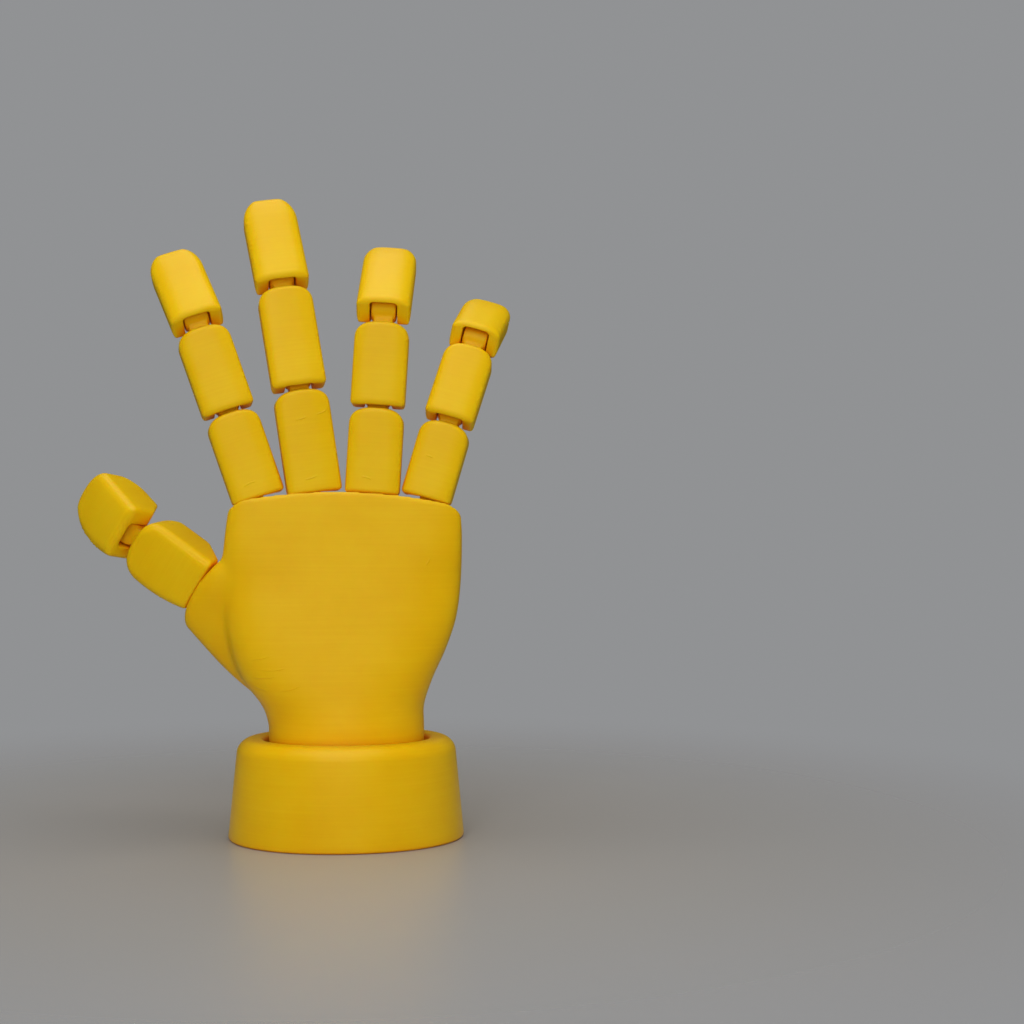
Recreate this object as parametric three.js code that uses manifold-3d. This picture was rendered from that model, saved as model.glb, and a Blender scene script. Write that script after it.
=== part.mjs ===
// Posable desk hand: a right hand of snap-together phalanges that stands in a separate oval base.
// Millimetres and degrees. +Z is up, the back of the hand faces -Y, the palm faces +Y
// and the thumb is on the -X side. The origin is the centre of the stand's underside.

import * as THREE from 'three';
import { mergeVertices } from 'three/addons/utils/BufferGeometryUtils.js';
import Module from 'manifold-3d';

const wasm = await Module();
wasm.setup();

// Stand
const standWidth = 70;
const standDepth = 60;
const standTaper = 2.8;
const standHeight = 29.4;
const standRimRound = 4;
const standLipRound = 1.2;
const standFootRound = 0.8;
const standFloor = 8;
const standSquareness = 2.1;

// Wrist plug, which the stand's recess is made to fit
const wristWidth = 46.2;
const wristDepth = 33.2;
const wristSquareness = 2.15;
const wristTop = 33;
const wristLead = 4;
const wristGap = 1.4;
const restGap = 0.3;

// Palm. Each station says how far up it is from the wrist to the palm's top, its reach to each side
// as a share of the palm's half width or half depth, and how square its back and front are.
const palmTop = 102.4;
const palmHalfWidth = 36.8;
const palmHalfDepth = 16.6;
const palmStations = [
  { rise: 0.086, left: 0.679, right: 0.628, back: 0.958, front: 0.976, backSquare: 2.3, frontSquare: 2.2 },
  { rise: 0.202, left: 0.837, right: 0.696, back: 0.898, front: 0.964, backSquare: 2.9, frontSquare: 2.4 },
  { rise: 0.331, left: 0.935, right: 0.804, back: 0.825, front: 0.916, backSquare: 3.8, frontSquare: 2.6 },
  { rise: 0.476, left: 0.984, right: 0.891, back: 0.747, front: 0.819, backSquare: 5, frontSquare: 2.8 },
  { rise: 0.677, left: 1, right: 0.929, back: 0.651, front: 0.639, backSquare: 6, frontSquare: 3 },
  { rise: 1.052, left: 0.913, right: 0.921, back: 0.542, front: 0.398, backSquare: 6, frontSquare: 3.4 },
];
const palmTopRadius = 155;
const palmTopAcross = -3;
const palmBackRound = 3;
const palmFrontRound = 6.5;
const palmCornerRound = 6;
const palmCornerLeft = 36.3;
const palmCornerRight = 34.6;
const palmCornerSweep = 78;
// The crown is the top of the palm, which ends in an arc; it is a little deeper than the palm below it
const crownDepth = 24;
const crownBackReach = 0.7;
const crownFrontReach = 1.3;
const crownBackSpread = 2;
const crownFrontSpread = 4.5;
const crownSweep = 15;
const crownBlend = 16;

// Thumb lobe on the side of the palm
const lobeWidth = 26;
const lobeDepth = 17;
const lobeRootWidth = 29;
const lobeRootDepth = 18;
const lobeSquareness = 3.6;
const lobeEndRise = 2.2;
const lobeEndInset = 7.5;
const lobeBackInset = 1.6;
const lobeSwell = 1.4;
const lobeRootX = -12;
const lobeRootY = 4.5;
const lobeRootZ = 48;

// Phalanges: a flat back with soft edges. The front of a finger's piece is all but half round,
// and a thumb's has a flat strip between two rounded edges.
const fingerBack = 6.5;
const fingerFront = 7.5;
const fingerFrontFlat = 0.6;
const thumbBack = 7.9;
const thumbFront = 8.5;
const thumbFrontFlat = 10.8;
const backEdgeRound = 2.2;
const endEdgeRound = 1.2;
const baseCornerRound = 1.4;
const tipRise = 5.6;
const tipSquareness = 2.6;
const tipEdgeRound = 1.6;
const tipFall = 8.5;
const thumbTipRise = 7;
const thumbTipFall = 15;
const soleLength = 9;
const knuckleSoleLength = 6.5;
const domeRise = 8.5;
const domeSquareness = 2.25;
const domeBackRound = 3.4;
const domeFall = 10;
const thumbDomeRise = 4.8;
const thumbDomeBackRound = 1.9;
const thumbDomeFall = 18.4;

// Knuckle: a ball on a stem, held in a socket that is open below and to the palm side
const ballRadius = 4.5;
const ballGap = 0.3;
const ballRise = 5.6;
const stemWidth = 5.4;
const stemRoot = 5;
const seatGap = 0.3;
const knuckleDrop = 5;
const knuckleCrown = 4.6;
const notchWidth = 6.1;
const notchTop = 2.8;
const mouthTop = 2.7;
const mouthRadius = 4;
const mouthFlare = 0.55;
const mouthLength = 9;
const knuckleSetback = 1;

// Finger hinge: a barrel on a neck, with two side bosses that snap into dimples
const barrelRadius = 3.4;
const barrelWidth = 7.4;
const neckWidth = 5.8;
const neckDepth = 5.8;
const neckRoot = 8;
const bossRadius = 2;
const bossRise = 1.1;
const hingeGap = 0.35;
const slotSideGap = 0.5;
const dimpleGap = 0.3;
const hingeDrop = 4.7;
const hingeCrown = 3.1;
const segmentGap = 0.4;

// Each finger: where its ball stands across the palm, its rest pose and its piece lengths.
// It leans to the side, is twisted a little about its own length, and each piece bends forward.
// Lengths run from joint centre to joint centre, and the last one from the joint to the tip.
const indexAcross = -28;
const indexWidth = 15.8;
const indexProximal = 25.9;
const indexMiddle = 26.4;
const indexDistal = 22.9;
const middleAcross = -10.5;
const middleWidth = 16.2;
const middleProximal = 30.2;
const middleMiddle = 31;
const middleDistal = 25.3;
const ringAcross = 8.1;
const ringWidth = 16.2;
const ringProximal = 25;
const ringMiddle = 25.6;
const ringDistal = 25;
const pinkyAcross = 25.3;
const pinkyWidth = 15.2;
const pinkyProximal = 23.2;
const pinkyMiddle = 24.4;
const pinkyDistal = 17;
const fingers = [
  {
    name: 'index', across: indexAcross, lean: -18.8, twist: 8, width: indexWidth,
    lengths: [indexProximal, indexMiddle, indexDistal], bends: [2, 3, 28],
  },
  {
    name: 'middle', across: middleAcross, lean: -8.2, twist: 7, width: middleWidth,
    lengths: [middleProximal, middleMiddle, middleDistal], bends: [2, 8, 16],
  },
  {
    name: 'ring', across: ringAcross, lean: 3.4, twist: -5, width: ringWidth,
    lengths: [ringProximal, ringMiddle, ringDistal], bends: [2, 2, 43],
  },
  {
    name: 'pinky', across: pinkyAcross, lean: 16, twist: -9, width: pinkyWidth,
    lengths: [pinkyProximal, pinkyMiddle, pinkyDistal], bends: [4, 13, 40],
  },
];

const thumbX = -46.3;
const thumbY = 4.5;
const thumbZ = 78;
const thumbWidth = 18.8;
const thumbProximal = 24;
const thumbDistal = 18.9;
const thumb = {
  name: 'thumb', lean: -54.2, swing: 14.2, roll: -17.6, width: thumbWidth,
  lengths: [thumbProximal, thumbDistal], bends: [0, 25.5],
};

const plasticColour = 0xecb41c;
const plasticRoughness = 0.52;

// Facets
const ringSteps = 36;
const lobeSteps = 28;
const palmRings = 15;
const frontRoundSteps = 6;
const edgeSteps = 3;
const cornerSteps = 4;
const crownSteps = 10;
const archSteps = 12;
const lobeSlices = 6;
const fallSteps = 6;
const ballSteps = 16;
const bossSteps = 10;
const barrelSteps = 20;
const stemSteps = 16;

// How far a cutting shape runs past what it cuts, how far one runs to each side of the palm,
// and how far a surface is carried past an edge
const past = 20;
const wide = 60;
const slack = 0.5;

const radians = THREE.MathUtils.degToRad;

// Solids

function toSolid(geometry) {
  const bare = geometry.clone();
  bare.deleteAttribute('normal');
  bare.deleteAttribute('uv');
  const merged = mergeVertices(bare, 1e-4);
  const mesh = new wasm.Mesh({
    numProp: 3,
    vertProperties: new Float32Array(merged.attributes.position.array),
    triVerts: new Uint32Array(merged.index.array),
  });
  return new wasm.Manifold(mesh);
}

function toGeometry(solid) {
  const mesh = solid.getMesh();
  const geometry = new THREE.BufferGeometry();
  geometry.setAttribute('position', new THREE.BufferAttribute(mesh.vertProperties, 3));
  geometry.setIndex(new THREE.BufferAttribute(mesh.triVerts, 1));
  geometry.computeVertexNormals();
  return geometry;
}

function arc(x, y, radiusX, radiusY, from, to, steps) {
  const points = [];
  for (let i = 0; i <= steps; i++) {
    const angle = radians(from + ((to - from) * i) / steps);
    points.push(new THREE.Vector2(x + radiusX * Math.cos(angle), y + radiusY * Math.sin(angle)));
  }
  return points;
}

// A drawing in two axes, pushed both ways along the third
function extrude(points, reach, drawX, drawY) {
  const push = new THREE.Vector3().crossVectors(drawX, drawY);
  const geometry = new THREE.ExtrudeGeometry(new THREE.Shape(points), {
    depth: 2 * reach,
    bevelEnabled: false,
    steps: 1,
  });
  geometry.translate(0, 0, -reach);
  geometry.applyMatrix4(new THREE.Matrix4().makeBasis(drawX, drawY, push));
  return toSolid(geometry);
}

const axisX = new THREE.Vector3(1, 0, 0);
const axisY = new THREE.Vector3(0, 1, 0);
const axisZ = new THREE.Vector3(0, 0, 1);

function drawnFromSide(points, halfWidth) {
  return extrude(points, halfWidth, axisY, axisZ);
}

function drawnFromFront(points, halfDepth) {
  return extrude(points, halfDepth, axisX, axisZ);
}

function drawnFromAbove(points, low, high) {
  const middle = (low + high) / 2;
  return extrude(points, (high - low) / 2, axisX, axisY).translate([0, 0, middle]);
}

// A skin over a row of rings with the same number of points, closed by a fan at each end
function loft(rings) {
  const count = rings[0].length;
  const last = rings.length - 1;
  const vertices = rings.flat();
  const index = [];
  for (let i = 0; i < last; i++) {
    for (let j = 0; j < count; j++) {
      const a = i * count + j;
      const b = i * count + ((j + 1) % count);
      index.push(a, b, b + count);
      index.push(a, b + count, a + count);
    }
  }
  for (const [ring, start] of [[rings[0], 0], [rings[last], last * count]]) {
    const centre = new THREE.Vector3();
    ring.forEach((point) => centre.addScaledVector(point, 1 / count));
    const hub = vertices.length;
    vertices.push(centre);
    for (let j = 0; j < count; j++) {
      const a = start + j;
      const b = start + ((j + 1) % count);
      if (start === 0) index.push(hub, b, a);
      else index.push(hub, a, b);
    }
  }
  const geometry = new THREE.BufferGeometry().setFromPoints(vertices);
  geometry.setIndex(index);
  return toSolid(geometry);
}

// A level oval whose front and back halves can differ in reach and in squareness
function ovalRing(section, steps) {
  const points = [];
  const middle = (section.right - section.left) / 2;
  const halfWidth = (section.right + section.left) / 2;
  for (let i = 0; i < steps; i++) {
    const angle = (2 * Math.PI * i) / steps;
    const cos = Math.cos(angle);
    const sin = Math.sin(angle);
    const power = 2 / (sin >= 0 ? section.frontSquare : section.backSquare);
    const reach = sin >= 0 ? section.front : section.back;
    const x = middle + halfWidth * Math.sign(cos) * Math.abs(cos) ** power;
    const y = reach * Math.sign(sin) * Math.abs(sin) ** power;
    points.push(new THREE.Vector3(x, y, section.height));
  }
  return points;
}

function evenSection(height, halfWidth, halfDepth, squareness) {
  return {
    height,
    left: halfWidth,
    right: halfWidth,
    back: halfDepth,
    front: halfDepth,
    backSquare: squareness,
    frontSquare: squareness,
  };
}

// Stand

// Rings run up the tapered outside, over the rounded rim and down the recess wall to its floor
function standSolid() {
  const profile = [];
  const slope = standTaper / standHeight;
  profile.push({ inset: standFootRound, height: 0 });
  profile.push({ inset: 0, height: standFootRound });
  for (let i = 0; i <= cornerSteps; i++) {
    const angle = radians((90 * i) / cornerSteps);
    const height = standHeight - standRimRound * (1 - Math.sin(angle));
    profile.push({ inset: slope * height + standRimRound * (1 - Math.cos(angle)), height });
  }
  const outside = profile.map(({ inset, height }) =>
    evenSection(height, standWidth / 2 - inset, standDepth / 2 - inset, standSquareness));
  const inside = [];
  for (let i = 0; i <= edgeSteps; i++) {
    const angle = radians((90 * i) / edgeSteps);
    const widen = wristGap + standLipRound * (1 - Math.sin(angle));
    const height = standHeight - standLipRound * (1 - Math.cos(angle));
    inside.push(evenSection(height, wristWidth / 2 + widen, wristDepth / 2 + widen, wristSquareness));
  }
  const recessX = wristWidth / 2 + wristGap;
  const recessY = wristDepth / 2 + wristGap;
  inside.push(evenSection(standFloor, recessX, recessY, wristSquareness));
  return loft([...outside, ...inside].map((section) => ovalRing(section, ringSteps)));
}

// Palm

const palmRows = palmStations.map((station) => ({
  ...station,
  height: THREE.MathUtils.lerp(wristTop, palmTop, station.rise),
  left: palmHalfWidth * station.left,
  right: palmHalfWidth * station.right,
  back: palmHalfDepth * station.back,
  front: palmHalfDepth * station.front,
}));
const topRow = palmRows[palmRows.length - 1];
const palmKeys = ['left', 'right', 'back', 'front', 'backSquare', 'frontSquare'];

function palmSections() {
  const wristSection = (height) => evenSection(height, wristWidth / 2, wristDepth / 2, wristSquareness);
  const stations = [wristSection(wristTop - wristLead), wristSection(wristTop), ...palmRows];
  const heights = stations.map((station) => station.height);
  const values = stations.flatMap((station) => palmKeys.map((key) => station[key]));
  const curve = new THREE.CubicInterpolant(heights, values, palmKeys.length);
  const sections = [wristSection(standFloor + restGap)];
  const top = heights[heights.length - 1];
  for (let i = 0; i <= palmRings; i++) {
    const height = wristTop + ((top - wristTop) * i) / palmRings;
    const found = curve.evaluate(height);
    const section = { height };
    palmKeys.forEach((key, k) => {
      section[key] = found[k];
    });
    sections.push(section);
  }
  return sections;
}

// The knuckle line is an arc seen from the front, and its rounded edge follows that arc
function crownSolid() {
  const back = topRow.back + crownBackReach;
  const front = topRow.front + crownFrontReach;
  const low = palmTopRadius - crownDepth;
  const edge = (x, round, from) =>
    arc(x, palmTopRadius - round, round, round, from, from + 90, cornerSteps);
  const profile = [
    new THREE.Vector2(-back - crownBackSpread, low),
    new THREE.Vector2(front + crownFrontSpread, low),
    ...edge(front - palmFrontRound, palmFrontRound, 0),
    ...edge(palmBackRound - back, palmBackRound, 90),
  ];
  const rings = [];
  for (let i = 0; i <= crownSteps; i++) {
    const angle = radians((2 * crownSweep * i) / crownSteps - crownSweep);
    rings.push(profile.map(({ x: across, y: out }) =>
      new THREE.Vector3(
        palmTopAcross + out * Math.sin(angle),
        across,
        palmTop - palmTopRadius + out * Math.cos(angle),
      )));
  }
  return loft(rings);
}

// The upper block's outline from the front, with its two rounded top corners
function palmOutline() {
  const left = -palmCornerLeft;
  const right = palmCornerRight;
  const shoulder = (x) => palmTop - palmTopRadius + Math.sqrt(palmTopRadius ** 2 - (x - palmTopAcross) ** 2);
  const round = palmCornerRound;
  const points = [
    new THREE.Vector2(left, 0),
    new THREE.Vector2(right, 0),
    ...arc(right - round, shoulder(right) - round, round, round, 0, palmCornerSweep, cornerSteps),
    new THREE.Vector2(palmTopAcross, palmTop + slack),
    ...arc(left + round, shoulder(left) - round, round, round, 180 - palmCornerSweep, 180, cornerSteps),
  ];
  return drawnFromFront(points, wide);
}

function stemSolid(root, ball) {
  const length = root.distanceTo(ball);
  const geometry = new THREE.CylinderGeometry(stemWidth / 2, stemWidth / 2, length, stemSteps);
  const along = new THREE.Vector3().subVectors(ball, root).normalize();
  geometry.applyQuaternion(new THREE.Quaternion().setFromUnitVectors(axisY, along));
  const middle = new THREE.Vector3().addVectors(root, ball).multiplyScalar(0.5);
  geometry.translate(middle.x, middle.y, middle.z);
  const seat = toSolid(ballGeometry(ballRadius + seatGap)).translate([ball.x, ball.y, ball.z]);
  return toSolid(geometry).subtract(seat);
}

const thumbRoot = new THREE.Vector3(thumbX, thumbY, thumbZ);

function thumbFrame() {
  const turn = new THREE.Euler(radians(-thumb.swing), radians(thumb.lean), radians(thumb.roll), 'YXZ');
  return new THREE.Quaternion().setFromEuler(turn);
}

// A soft-ended block that grows from the thumb's stem down into the palm
function lobeSolid() {
  const frame = thumbFrame();
  const along = axisZ.clone().applyQuaternion(frame);
  const across = axisX.clone().applyQuaternion(frame);
  const depth = axisY.clone().applyQuaternion(frame);
  const face = thumbRoot.clone().addScaledVector(along, -ballRise);
  const root = new THREE.Vector3(lobeRootX, lobeRootY, lobeRootZ);
  const ringAt = (centre, halfWidth, halfDepth, back = halfDepth) => {
    const section = { ...evenSection(0, halfWidth, halfDepth, lobeSquareness), back };
    const flat = ovalRing(section, lobeSteps);
    return flat.map((point) =>
      centre.clone().addScaledVector(across, point.x).addScaledVector(depth, point.y));
  };
  const rings = [];
  for (let i = 0; i <= lobeSlices; i++) {
    const t = 1 - i / lobeSlices;
    const centre = face.clone().addScaledVector(along, -lobeEndRise).lerp(root, t);
    const swell = lobeSwell * Math.sin(Math.PI * t);
    const halfWidth = THREE.MathUtils.lerp(lobeWidth, lobeRootWidth, t) / 2 + swell;
    const halfDepth = THREE.MathUtils.lerp(lobeDepth, lobeRootDepth, t) / 2 + swell;
    rings.push(ringAt(centre, halfWidth, halfDepth));
  }
  for (let i = 1; i <= cornerSteps; i++) {
    const angle = radians((90 * i) / cornerSteps);
    const turned = 1 - Math.cos(angle);
    const inset = lobeEndInset * turned;
    const back = lobeDepth / 2 - lobeBackInset * turned;
    const centre = face.clone().addScaledVector(along, lobeEndRise * (Math.sin(angle) - 1));
    rings.push(ringAt(centre, lobeWidth / 2 - inset, lobeDepth / 2 - inset, back));
  }
  return loft(rings);
}

// Each knuckle ball stands square off the arc of the palm's top, as far in as the fingers' backs allow
function knucklePoint(finger, rise) {
  const angle = Math.asin((finger.across - palmTopAcross) / (palmTopRadius + ballRise));
  const out = palmTopRadius + rise;
  return new THREE.Vector3(
    palmTopAcross + out * Math.sin(angle),
    fingerBack + knuckleSetback - topRow.back,
    palmTop - palmTopRadius + out * Math.cos(angle),
  );
}

function palmSolid() {
  const body = loft(palmSections().map((section) => ovalRing(section, ringSteps)));
  const upper = crownSolid().intersect(palmOutline());
  const split = palmTop - crownBlend;
  const lower = drawnFromFront([
    new THREE.Vector2(-wide, 0),
    new THREE.Vector2(wide, 0),
    new THREE.Vector2(wide, split),
    new THREE.Vector2(-wide, split),
  ], wide);
  let palm = body.intersect(upper.add(lower));
  palm = palm.add(lobeSolid());
  fingers.forEach((finger) => {
    palm = palm.add(stemSolid(knucklePoint(finger, -stemRoot), knucklePoint(finger, ballRise)));
  });
  const along = axisZ.clone().applyQuaternion(thumbFrame());
  const root = thumbRoot.clone().addScaledVector(along, -ballRise - stemRoot);
  return palm.add(stemSolid(root, thumbRoot));
}

// Phalanges

function ballGeometry(radius) {
  const ball = new THREE.SphereGeometry(radius, ballSteps, ballSteps / 2);
  ball.rotateX(Math.PI / 2);
  return ball;
}

function bossGeometry(radius) {
  const boss = new THREE.SphereGeometry(radius, bossSteps, bossSteps / 2 + 1);
  boss.rotateZ(Math.PI / 2);
  return boss;
}

function sectionOutline({ width, back, front, frontFlat }) {
  const half = width / 2;
  const round = backEdgeRound;
  const frontRound = (width - frontFlat) / 2;
  const corner = half - frontRound;
  return [
    ...arc(round - half, round - back, round, round, 180, 270, edgeSteps),
    ...arc(half - round, round - back, round, round, 270, 360, edgeSteps),
    ...arc(corner, front - frontRound, frontRound, frontRound, 0, 90, frontRoundSteps),
    ...arc(-corner, front - frontRound, frontRound, frontRound, 90, 180, frontRoundSteps),
  ];
}

// The base from the side: a short flat sole, then a slanted cut up to the palm side
function baseOutline({ back, front }, { drop, crown, sole, top }) {
  const round = endEdgeRound;
  const rise = (crown + drop) / (back + front - sole);
  return [
    ...arc(round - back, round - drop, round, round, 180, 270, edgeSteps),
    new THREE.Vector2(sole - back, -drop),
    new THREE.Vector2(front + slack, crown + rise * slack),
    new THREE.Vector2(front + slack, top + past),
    new THREE.Vector2(-back, top + past),
  ];
}

// The tip from the side: it falls away to the palm side
function tipOutline({ back, front }, { drop, top, backRound, fall }) {
  const depth = back + front;
  return [
    new THREE.Vector2(-back - slack, -drop - past),
    new THREE.Vector2(front + slack, -drop - past),
    new THREE.Vector2(front + slack, top - fall),
    ...arc(backRound - back, top - fall, depth - backRound, fall, 0, 90, fallSteps),
    ...arc(backRound - back, top - backRound, backRound, backRound, 90, 180, cornerSteps).slice(1),
    new THREE.Vector2(-back - slack, top - backRound),
  ];
}

// From the front: a nearly square base and an arched tip
function frontOutline({ width }, { drop, top, tipArch, tipSquare }) {
  const half = width / 2;
  const base = baseCornerRound;
  const power = 2 / tipSquare;
  const arch = arc(0, 0, 1, 1, 0, 180, archSteps).map(({ x, y }) => new THREE.Vector2(
    half * Math.sign(x) * Math.abs(x) ** power,
    top - tipArch + tipArch * Math.abs(y) ** power,
  ));
  return [
    ...arc(base - half, base - drop, base, base, 180, 270, edgeSteps),
    ...arc(half - base, base - drop, base, base, 270, 360, edgeSteps),
    ...arch,
  ];
}

function phalanxBody(spec, ends) {
  const section = drawnFromAbove(sectionOutline(spec), -ends.drop - past, ends.top + past);
  const base = drawnFromSide(baseOutline(spec, ends), spec.width);
  const tip = drawnFromSide(tipOutline(spec, ends), spec.width);
  const front = drawnFromFront(frontOutline(spec, ends), spec.back + spec.front);
  return section.intersect(base).intersect(tip).intersect(front);
}

// The half of a hinge that stands on the lower piece's tip
function tongueSolid(length) {
  const neck = new THREE.BoxGeometry(neckWidth, neckDepth, neckRoot);
  neck.translate(0, 0, length - neckRoot / 2);
  const barrel = new THREE.CylinderGeometry(barrelRadius, barrelRadius, barrelWidth, barrelSteps);
  barrel.rotateZ(Math.PI / 2);
  barrel.translate(0, 0, length);
  let tongue = toSolid(neck).add(toSolid(barrel));
  for (const side of [-1, 1]) {
    const boss = bossGeometry(bossRadius);
    boss.translate(side * (barrelWidth / 2 + bossRise - bossRadius), 0, length);
    tongue = tongue.add(toSolid(boss));
  }
  return tongue;
}

// The half of a hinge that is cut into the upper piece's base, with a wall left at the back
function hingeCut(drop) {
  const radius = barrelRadius + hingeGap;
  const far = fingerFront + past;
  const outline = [
    new THREE.Vector2(-radius, -drop - past),
    new THREE.Vector2(far, -drop - past),
    new THREE.Vector2(far, radius),
    ...arc(0, 0, radius, radius, 90, 180, cornerSteps),
  ];
  let cut = drawnFromSide(outline, barrelWidth / 2 + slotSideGap);
  for (const side of [-1, 1]) {
    const dimple = bossGeometry(bossRadius + dimpleGap);
    dimple.translate(side * (barrelWidth / 2 + bossRise - bossRadius), 0, 0);
    cut = cut.add(toSolid(dimple));
  }
  return cut;
}

// A ball socket with a flared mouth for the stem's sway and a notch for its swing to the palm side
function socketCut() {
  const flareEnd = mouthRadius + mouthFlare * mouthLength;
  const mouth = new THREE.CylinderGeometry(mouthRadius, flareEnd, mouthLength, ballSteps);
  mouth.rotateX(Math.PI / 2);
  mouth.translate(0, 0, -mouthTop - mouthLength / 2);
  const notch = [
    new THREE.Vector2(0, -past),
    new THREE.Vector2(past, -past),
    new THREE.Vector2(past, notchTop),
    new THREE.Vector2(0, notchTop),
  ];
  const socket = toSolid(ballGeometry(ballRadius + ballGap));
  return socket.add(toSolid(mouth)).add(drawnFromSide(notch, notchWidth / 2));
}

function phalanxSolid(spec, length, isRoot, isTip) {
  const ends = {
    drop: isRoot ? knuckleDrop : hingeDrop,
    crown: isRoot ? knuckleCrown : hingeCrown,
    sole: isRoot ? knuckleSoleLength : soleLength,
    top: isTip ? length : length - hingeDrop - segmentGap,
    tipArch: isTip ? spec.domeRise : spec.tipRise,
    tipSquare: isTip ? domeSquareness : tipSquareness,
    backRound: isTip ? spec.domeBackRound : tipEdgeRound,
    fall: isTip ? spec.domeFall : spec.tipFall,
  };
  const cut = isRoot ? socketCut() : hingeCut(ends.drop);
  const piece = phalanxBody(spec, ends).subtract(cut);
  return isTip ? piece : piece.add(tongueSolid(length));
}

// Assembly

function plastic(name) {
  const material = new THREE.MeshStandardMaterial({
    color: plasticColour,
    roughness: plasticRoughness,
    metalness: 0,
  });
  material.name = `${name}_plastic`;
  return material;
}

function part(name, geometry) {
  const mesh = new THREE.Mesh(geometry, plastic(name));
  mesh.name = name;
  return mesh;
}

// A chain of pieces, each in a group at its joint, turned by its bend in the rest pose
function digit(spec, names) {
  const knuckle = new THREE.Group();
  knuckle.name = `${spec.name}_knuckle`;
  knuckle.add(part(`${spec.name}_knuckle_ball`, ballGeometry(ballRadius)));
  let parent = knuckle;
  let reach = 0;
  names.forEach((name, i) => {
    const joint = new THREE.Group();
    joint.name = `${spec.name}_${name}_joint`;
    joint.position.z = reach;
    joint.rotation.x = radians(-spec.bends[i]);
    const solid = phalanxSolid(spec, spec.lengths[i], i === 0, i === names.length - 1);
    joint.add(part(`${spec.name}_${name}`, toGeometry(solid)));
    parent.add(joint);
    parent = joint;
    reach = spec.lengths[i];
  });
  return knuckle;
}

function fingerChain(spec) {
  const shape = {
    back: fingerBack,
    front: fingerFront,
    frontFlat: fingerFrontFlat,
    tipRise,
    tipFall,
    domeRise,
    domeBackRound,
    domeFall,
  };
  const chain = digit({ ...spec, ...shape }, ['proximal', 'middle', 'distal']);
  chain.position.copy(knucklePoint(spec, ballRise));
  chain.rotation.set(0, radians(spec.lean), radians(spec.twist), 'YXZ');
  return chain;
}

function thumbChain() {
  const shape = {
    back: thumbBack,
    front: thumbFront,
    frontFlat: thumbFrontFlat,
    tipRise: thumbTipRise,
    tipFall: thumbTipFall,
    domeRise: thumbDomeRise,
    domeBackRound: thumbDomeBackRound,
    domeFall: thumbDomeFall,
  };
  const chain = digit({ ...thumb, ...shape }, ['proximal', 'distal']);
  chain.position.copy(thumbRoot);
  chain.quaternion.copy(thumbFrame());
  return chain;
}

function posableHand() {
  const model = new THREE.Group();
  model.add(part('stand', toGeometry(standSolid())));
  const hand = new THREE.Group();
  hand.add(part('palm', toGeometry(palmSolid())));
  fingers.forEach((spec) => hand.add(fingerChain(spec)));
  hand.add(thumbChain());
  model.add(hand);
  return model;
}

export default posableHand();
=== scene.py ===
import math

import bmesh
import bpy
from mathutils import Euler, Matrix, Vector, noise


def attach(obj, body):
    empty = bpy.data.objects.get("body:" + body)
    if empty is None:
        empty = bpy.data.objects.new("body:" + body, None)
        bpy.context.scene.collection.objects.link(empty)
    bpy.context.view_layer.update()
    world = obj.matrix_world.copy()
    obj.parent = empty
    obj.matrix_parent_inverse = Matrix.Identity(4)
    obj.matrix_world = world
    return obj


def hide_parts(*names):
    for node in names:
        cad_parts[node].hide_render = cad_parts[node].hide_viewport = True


# Posable hand in yellow printed plastic. Shapes are drawn in millimetres and put in place in metres.
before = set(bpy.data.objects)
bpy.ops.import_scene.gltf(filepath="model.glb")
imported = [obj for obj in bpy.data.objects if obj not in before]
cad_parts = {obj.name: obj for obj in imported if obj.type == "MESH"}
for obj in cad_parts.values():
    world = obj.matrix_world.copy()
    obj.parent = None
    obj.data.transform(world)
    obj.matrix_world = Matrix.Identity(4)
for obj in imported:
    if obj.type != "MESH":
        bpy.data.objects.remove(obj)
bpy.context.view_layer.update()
print("frame: %d nodes" % len(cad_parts))

mm = 0.001
metres = Matrix.Scale(mm, 4)


def finishedMesh(bm, name):
    bmesh.ops.remove_doubles(bm, verts=bm.verts, dist=0.0001)
    bmesh.ops.recalc_face_normals(bm, faces=bm.faces)
    mesh = bpy.data.meshes.new(name)
    bm.to_mesh(mesh)
    bm.free()
    return mesh


def onBench(mesh):
    item = bpy.data.objects.new("bench", mesh)
    bpy.context.scene.collection.objects.link(item)
    return item


def takeOff(item):
    graph = bpy.context.evaluated_depsgraph_get()
    mesh = bpy.data.meshes.new_from_object(item.evaluated_get(graph))
    bpy.data.objects.remove(item)
    return mesh


def carve(mesh, steps):
    # steps: pairs of UNION, DIFFERENCE or INTERSECT and the mesh that does it
    item = onBench(mesh)
    tools = []
    for operation, toolMesh in steps:
        tools.append(onBench(toolMesh))
        cut = item.modifiers.new("cut", "BOOLEAN")
        cut.operation = operation
        cut.solver = "MANIFOLD"
        cut.object = tools[-1]
    made = takeOff(item)
    for tool in tools:
        bpy.data.objects.remove(tool)
    return made


def soften(mesh, grain, rounds):
    # an even fine skin, then every edge is worn round
    item = onBench(mesh)
    skin = item.modifiers.new("skin", "REMESH")
    skin.mode = "VOXEL"
    skin.voxel_size = grain
    skin.use_smooth_shade = True
    wear = item.modifiers.new("wear", "SMOOTH")
    wear.factor = 0.5
    wear.iterations = rounds
    return takeOff(item)


def soothe(mesh, share, rounds):
    # more wear where share(spot) says so
    item = onBench(mesh)
    group = item.vertex_groups.new(name="worn")
    for v in mesh.vertices:
        amount = share(v.co)
        if amount > 0:
            group.add([v.index], amount, "REPLACE")
    wear = item.modifiers.new("wear", "SMOOTH")
    wear.factor = 0.5
    wear.iterations = rounds
    wear.vertex_group = "worn"
    return takeOff(item)


def pushFace(bm, face, way):
    pushed = bmesh.ops.extrude_face_region(bm, geom=[face])
    verts = [v for v in pushed["geom"] if isinstance(v, bmesh.types.BMVert)]
    bmesh.ops.translate(bm, verts=verts, vec=way)


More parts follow.
